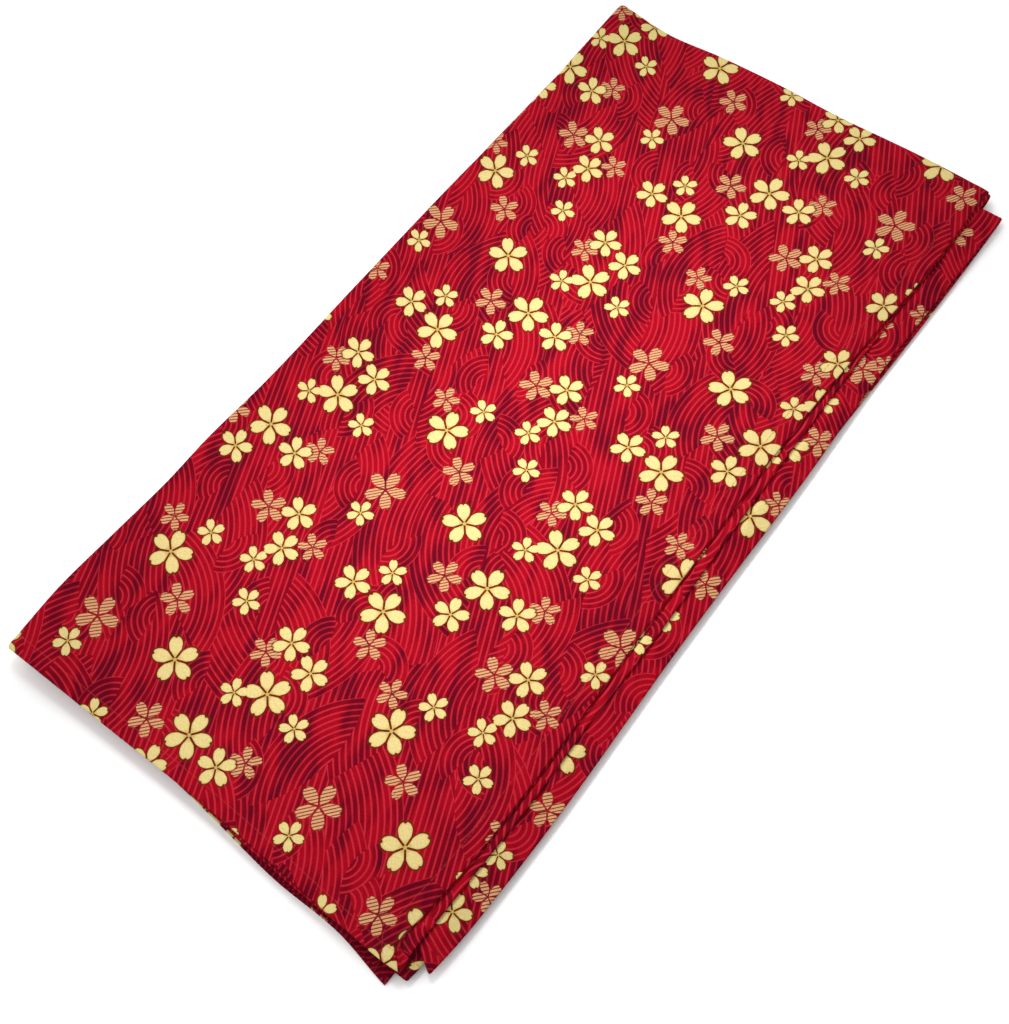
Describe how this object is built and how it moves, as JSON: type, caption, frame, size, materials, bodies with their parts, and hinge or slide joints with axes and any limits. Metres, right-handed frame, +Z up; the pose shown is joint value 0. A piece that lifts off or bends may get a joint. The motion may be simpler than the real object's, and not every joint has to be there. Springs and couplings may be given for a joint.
{
  "type": "folded furoshiki wrapping cloth",
  "caption": "Cotton furoshiki wrapping cloth with a flower and wave print, folded flat into a long panel with its hems at one end and one side, resting on a surface.",
  "frame": {"origin": "middle of the folded cloth's bounding box in plan, on the surface that it rests on", "axes": "+X across the folded cloth, from the side with the two folds to the side with the hems and the narrow strip; +Y along it, from the open end with the hems to the end with the single fold; +Z up"},
  "size_m": [0.2564, 0.5276, 0.0163],
  "materials": {
    "crimson_cotton": "matt printed plain-weave cotton, crimson with gold and tan flowers"
  },
  "bodies": {
    "root": {"furoshiki_cloth": "crimson_cotton"}
  },
  "joints": []
}
